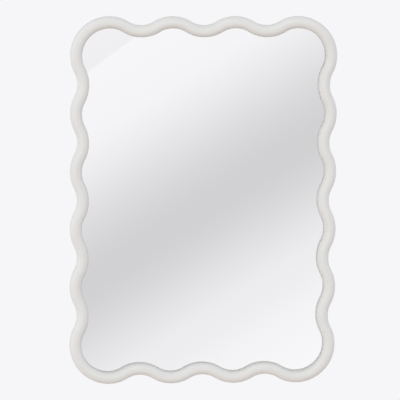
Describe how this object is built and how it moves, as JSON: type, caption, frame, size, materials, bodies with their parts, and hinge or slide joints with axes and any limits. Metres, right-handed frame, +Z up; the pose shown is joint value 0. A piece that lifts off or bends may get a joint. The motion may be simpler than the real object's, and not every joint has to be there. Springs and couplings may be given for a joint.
{
  "type": "wall mirror",
  "caption": "Rectangular wall mirror in a white round-fronted wooden frame that runs in even waves, with backing board, turn buttons and swinging hanging rings behind.",
  "frame": {"origin": "middle of the mirror's outline, on the wall plane that its pads touch", "axes": "+Z up, +X to the right as the mirror is looked at, +Y from the mirror into the wall"},
  "size_m": [0.6, 0.0375, 0.83],
  "materials": {
    "white_paint": "brushed satin off-white paint over solid wood",
    "silvered_glass": "polished float glass, silvered behind",
    "film": "blue-grey safety film",
    "foam": "white foam tape",
    "fibreboard": "brown hardboard, smooth side out",
    "bare_wood": "beech dowel",
    "black_rubber": "matt black rubber",
    "zinc_steel": "bright zinc plate"
  },
  "bodies": {
    "mirror": {"top_rail": "white_paint", "bottom_rail": "white_paint", "left_stile": "white_paint", "right_stile": "white_paint", "corner_dowels": "bare_wood", "mirror_glass": "silvered_glass", "safety_film": "film", "backing_board": "fibreboard", "foam_strips": "foam", "glass_spacers": "black_rubber", "turn_button_screws": "zinc_steel", "hanger_screws": "zinc_steel", "wall_pads": "black_rubber", "left_hanger_strap": "zinc_steel", "right_hanger_strap": "zinc_steel"},
    "button_top_left": {"turn_button_top_left": "zinc_steel"},
    "button_top_right": {"turn_button_top_right": "zinc_steel"},
    "button_right_upper": {"turn_button_right_upper": "zinc_steel"},
    "button_right_lower": {"turn_button_right_lower": "zinc_steel"},
    "button_bottom_right": {"turn_button_bottom_right": "zinc_steel"},
    "button_bottom_left": {"turn_button_bottom_left": "zinc_steel"},
    "button_left_lower": {"turn_button_left_lower": "zinc_steel"},
    "button_left_upper": {"turn_button_left_upper": "zinc_steel"},
    "left_ring": {"left_hanger_ring": "zinc_steel"},
    "right_ring": {"right_hanger_ring": "zinc_steel"}
  },
  "joints": [
    {"name": "button_top_left_turn", "type": "hinge", "parent": "mirror", "child": "button_top_left", "pos_m": [-0.14133, -0.0045, 0.384], "axis": [0, 1, 0], "continuous": true},
    {"name": "button_top_right_turn", "type": "hinge", "parent": "mirror", "child": "button_top_right", "pos_m": [0.14133, -0.0045, 0.384], "axis": [0, 1, 0], "continuous": true},
    {"name": "button_right_upper_turn", "type": "hinge", "parent": "mirror", "child": "button_right_upper", "pos_m": [0.273, -0.0045, 0.1308], "axis": [0, 1, 0], "continuous": true},
    {"name": "button_right_lower_turn", "type": "hinge", "parent": "mirror", "child": "button_right_lower", "pos_m": [0.273, -0.0045, -0.1308], "axis": [0, 1, 0], "continuous": true},
    {"name": "button_bottom_right_turn", "type": "hinge", "parent": "mirror", "child": "button_bottom_right", "pos_m": [0.14133, -0.0045, -0.384], "axis": [0, 1, 0], "continuous": true},
    {"name": "button_bottom_left_turn", "type": "hinge", "parent": "mirror", "child": "button_bottom_left", "pos_m": [-0.14133, -0.0045, -0.384], "axis": [0, 1, 0], "continuous": true},
    {"name": "button_left_lower_turn", "type": "hinge", "parent": "mirror", "child": "button_left_lower", "pos_m": [-0.273, -0.0045, -0.1308], "axis": [0, 1, 0], "continuous": true},
    {"name": "button_left_upper_turn", "type": "hinge", "parent": "mirror", "child": "button_left_upper", "pos_m": [-0.273, -0.0045, 0.1308], "axis": [0, 1, 0], "continuous": true},
    {"name": "left_ring_swing", "type": "hinge", "parent": "mirror", "child": "left_ring", "pos_m": [-0.288, -0.00255, 0.2042], "axis": [-1, 0, 0], "range_deg": [0, 177]},
    {"name": "right_ring_swing", "type": "hinge", "parent": "mirror", "child": "right_ring", "pos_m": [0.288, -0.00255, 0.2042], "axis": [-1, 0, 0], "range_deg": [0, 177]}
  ]
}
